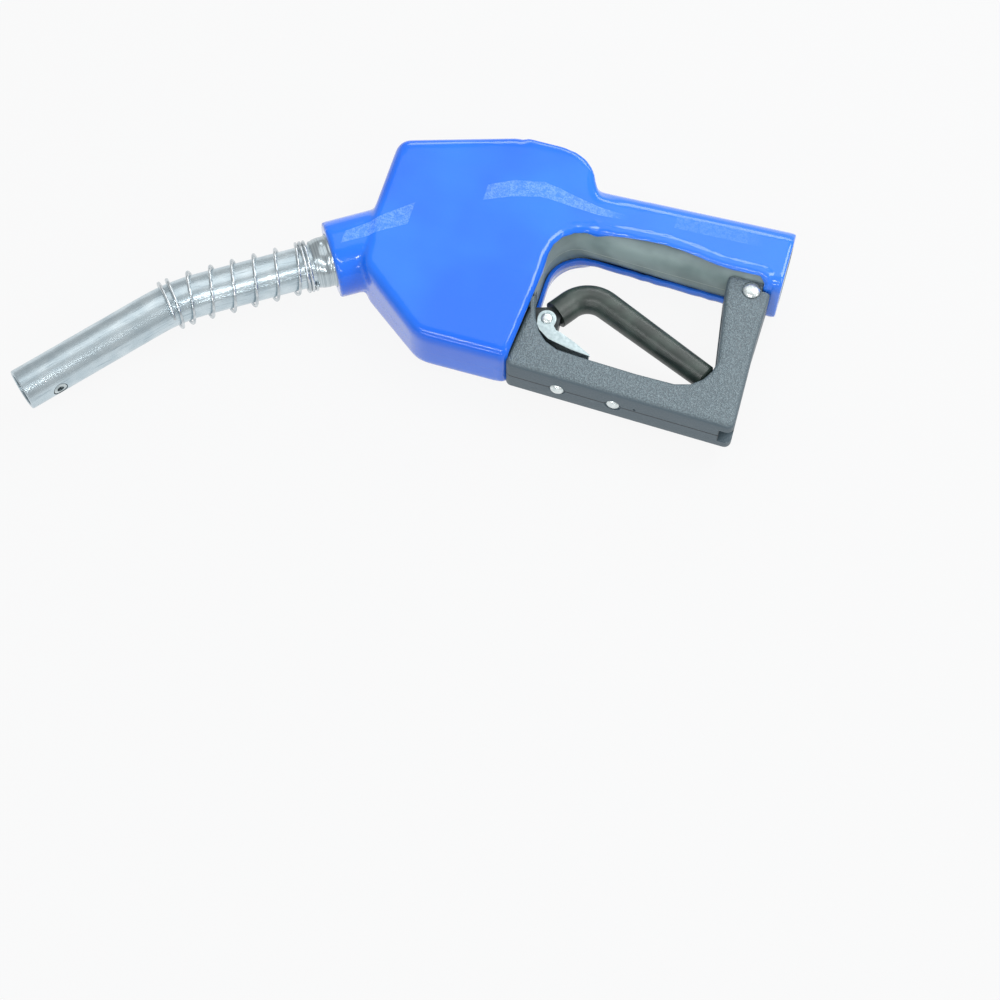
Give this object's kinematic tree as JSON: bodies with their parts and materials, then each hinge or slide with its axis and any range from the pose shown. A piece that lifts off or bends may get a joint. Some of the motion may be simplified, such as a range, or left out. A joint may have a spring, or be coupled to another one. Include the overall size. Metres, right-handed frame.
{
  "type": "fuel nozzle",
  "caption": "Automatic shut-off fuel nozzle with a dipped scuff cover, a lever in a guard, a hold-open clip and a bent spout with an anchor spring.",
  "frame": {"origin": "centre of the inlet mouth, on the handle axis and in the nozzle's plane of symmetry", "axes": "+X leaves the inlet along the handle towards the hose, +Y is the top of the nozzle in use, +Z is its left side, which faces up as the nozzle lies"},
  "size_m": [0.3421, 0.2007, 0.041],
  "materials": {
    "cover_vinyl": "glossy dipped vinyl",
    "cast_aluminium": "dark coated, satin",
    "spout_aluminium": "drawn, fine lengthwise lines",
    "collar_aluminium": "turned",
    "zinc_steel": "bright zinc plate",
    "spring_steel": "bright wire",
    "guard_plastic": "grained",
    "sleeve_rubber": "satin",
    "brass": "turned",
    "seal_rubber": "matte"
  },
  "bodies": {
    "nozzle_body": {"body_casting": "cast_aluminium", "scuff_cover": "cover_vinyl", "inlet_strainer": "zinc_steel", "main_valve_cap": "cast_aluminium", "stem_packing": "seal_rubber", "packing_nut": "brass", "main_valve_spring": "spring_steel", "latch_sleeve": "brass", "plunger_spring": "spring_steel", "diaphragm": "seal_rubber", "diaphragm_cap": "cast_aluminium", "diaphragm_spring": "spring_steel", "spout_tube": "spout_aluminium", "sensing_port_bush": "brass", "vent_tube": "spout_aluminium", "spout_collar": "collar_aluminium", "spout_o_ring": "seal_rubber", "spout_lock_screw": "zinc_steel", "spout_spring": "spring_steel", "check_valve_guide": "brass", "check_valve_seat": "brass", "check_valve_spring": "spring_steel", "guard_left_half": "guard_plastic", "guard_right_half": "guard_plastic", "guard_rear_rivet": "zinc_steel", "guard_front_pin": "zinc_steel", "hold_open_rack": "zinc_steel", "rack_rivet_1": "zinc_steel", "rack_rivet_2": "zinc_steel"},
    "latch_plunger": {"latch_plunger": "zinc_steel", "lever_pin": "zinc_steel", "latch_ball_1": "zinc_steel", "latch_ball_2": "zinc_steel", "latch_ball_3": "zinc_steel"},
    "lever": {"lever_core": "zinc_steel", "lever_sleeve": "sleeve_rubber", "clip_rivet": "zinc_steel", "clip_spacer": "zinc_steel", "clip_spring": "spring_steel"},
    "hold_open_clip": {"hold_open_clip": "zinc_steel"},
    "main_valve": {"main_stem": "zinc_steel", "main_poppet": "brass", "poppet_seal": "seal_rubber", "stem_nut": "zinc_steel"},
    "check_valve": {"check_valve_poppet": "brass"},
    "latch_pin": {"latch_pin": "zinc_steel"}
  },
  "joints": [
    {"name": "latch_slide", "type": "slide", "parent": "nozzle_body", "child": "latch_plunger", "axis": [0.3738, -0.9275, 0], "range_m": [0, 0.004], "stiffness_N_per_m": 400, "springref_m": -0.01, "deforming": ["plunger_spring"]},
    {"name": "lever_pivot", "type": "hinge", "parent": "latch_plunger", "child": "lever", "pos_m": [-0.138, -0.062, 0], "axis": [0, 0, 1], "range_deg": [0, 14], "stiffness_Nm_per_rad": 1, "springref_deg": -17.19},
    {"name": "clip_pivot", "type": "hinge", "parent": "lever", "child": "hold_open_clip", "pos_m": [-0.1038, -0.0619, 0], "axis": [0, 0, 1], "range_deg": [-10, 0], "stiffness_Nm_per_rad": 0.02, "springref_deg": 28.65, "deforming": ["clip_spring"]},
    {"name": "valve_lift", "type": "slide", "parent": "nozzle_body", "child": "main_valve", "axis": [0, 1, 0], "range_m": [0, 0.0051], "stiffness_N_per_m": 500, "springref_m": -0.004, "deforming": ["main_valve_spring"]},
    {"name": "check_slide", "type": "slide", "parent": "nozzle_body", "child": "check_valve", "axis": [-0.8339, -0.5519, 0], "range_m": [0, 0.004], "stiffness_N_per_m": 300, "springref_m": -0.003, "deforming": ["check_valve_spring"]},
    {"name": "diaphragm_lift", "type": "slide", "parent": "nozzle_body", "child": "latch_pin", "axis": [-0.3738, 0.9275, 0], "range_m": [0, 0.0025], "stiffness_N_per_m": 300, "springref_m": -0.003, "deforming": ["diaphragm_spring", "diaphragm"]}
  ],
  "couplings": [
    {"joint": "valve_lift", "follows": "lever_pivot", "m_per_rad": 0.0205}
  ]
}
